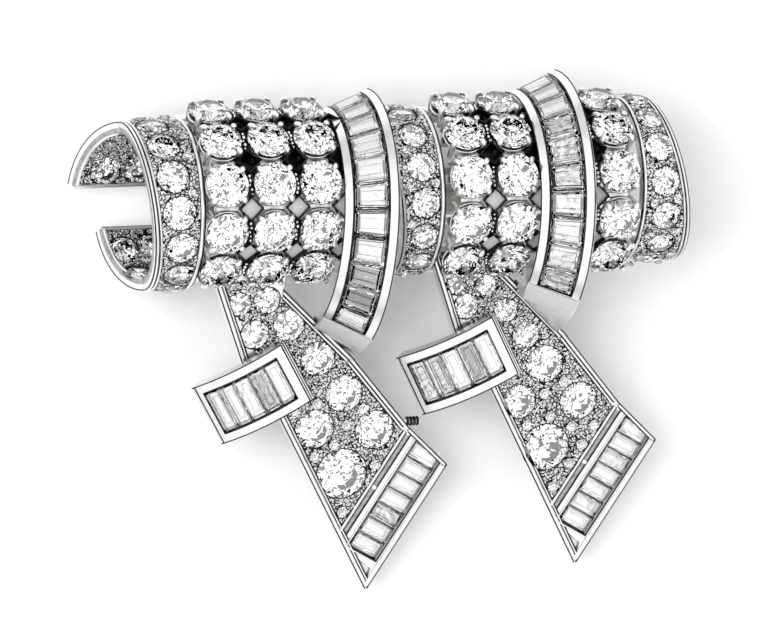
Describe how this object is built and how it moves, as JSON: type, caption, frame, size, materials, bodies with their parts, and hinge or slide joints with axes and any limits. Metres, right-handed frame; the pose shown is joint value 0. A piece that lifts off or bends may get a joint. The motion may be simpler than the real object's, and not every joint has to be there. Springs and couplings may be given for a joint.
{
  "type": "double clip brooch",
  "caption": "Double clip brooch shaped as a rolled ribbon with two tails and two buckles, openwork metal set all over with round and step-cut stones.",
  "frame": {"origin": "on the surface that the brooch lies on, under the middle of its box", "axes": "+X along the roll towards the right clip, +Y towards the roll's top side and away from the tails, +Z away from the surface, out of the brooch's face"},
  "size_m": [0.061, 0.0518, 0.0243],
  "materials": {
    "metal": "polished platinum",
    "stones": "clear colourless cut stones"
  },
  "bodies": {
    "root": {"clip_mount_left": "metal", "clip_mount_right": "metal", "clip_flap_left": "metal", "clip_flap_right": "metal", "brooch_frame": "metal", "stone_left_1_1": "stones", "stone_left_1_2": "stones", "stone_left_1_3": "stones", "stone_left_2_1": "stones", "stone_left_2_2": "stones", "stone_left_2_3": "stones", "stone_left_3_1": "stones", "stone_left_3_2": "stones", "stone_left_3_3": "stones", "stone_left_4_1": "stones", "stone_left_4_2": "stones", "stone_left_4_3": "stones", "stone_left_5_1": "stones", "stone_left_5_2": "stones", "stone_left_5_3": "stones", "stone_right_1_1": "stones", "stone_right_1_2": "stones", "stone_right_2_1": "stones", "stone_right_2_2": "stones", "stone_right_3_1": "stones", "stone_right_3_2": "stones", "stone_right_4_1": "stones", "stone_right_4_2": "stones", "stone_right_5_1": "stones", "stone_right_5_2": "stones", "stone_column_1": "stones", "stone_column_2": "stones", "stone_column_3": "stones", "stone_column_4": "stones", "stone_column_5": "stones", "pave_band_left": "stones", "pave_turn_left": "stones", "pave_band_middle": "stones", "pave_band_right": "stones", "pave_tail_left": "stones", "pave_tail_right": "stones", "baguettes_arc_left": "stones", "baguettes_arc_right": "stones", "baguettes_buckle_left": "stones", "baguettes_buckle_right": "stones", "baguettes_end_left": "stones", "baguettes_end_right": "stones"}
  },
  "joints": []
}
